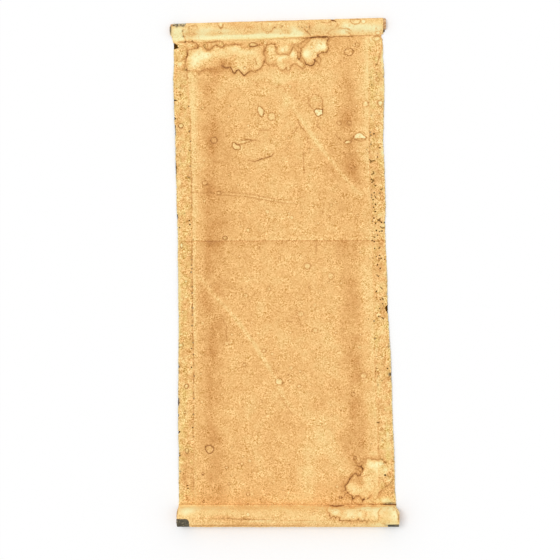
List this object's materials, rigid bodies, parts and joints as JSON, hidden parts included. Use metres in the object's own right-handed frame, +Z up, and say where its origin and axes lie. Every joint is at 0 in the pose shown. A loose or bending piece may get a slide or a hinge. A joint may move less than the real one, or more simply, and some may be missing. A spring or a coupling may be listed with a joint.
{
  "type": "paper scroll",
  "caption": "Old paper hanging scroll laid open face down: lined back, worn sleeves over a half-round stave at the head and a round roller at the foot.",
  "frame": {"origin": "on the floor under the middle of the scroll's bounding box", "axes": "+Z up out of the lined back, +Y along the scroll towards the stave at its head, +X across the sheet to the right as the back is seen"},
  "size_m": [0.3144, 0.7132, 0.0249],
  "materials": {
    "panel_paper": "aged matt paper",
    "border_cloth": "grey plain weave, worn",
    "backing_paper": "aged matt paper, foxed and water stained",
    "sleeve_paper": "aged matt paper",
    "rod_wood": "bare dark softwood"
  },
  "bodies": {
    "root": {"front_panel": "panel_paper", "left_border_cloth": "border_cloth", "right_border_cloth": "border_cloth", "lower_backing_sheet": "backing_paper", "upper_backing_sheet": "backing_paper", "top_sleeve": "sleeve_paper", "bottom_sleeve": "sleeve_paper", "top_stave": "rod_wood", "bottom_roller": "rod_wood"}
  },
  "joints": []
}
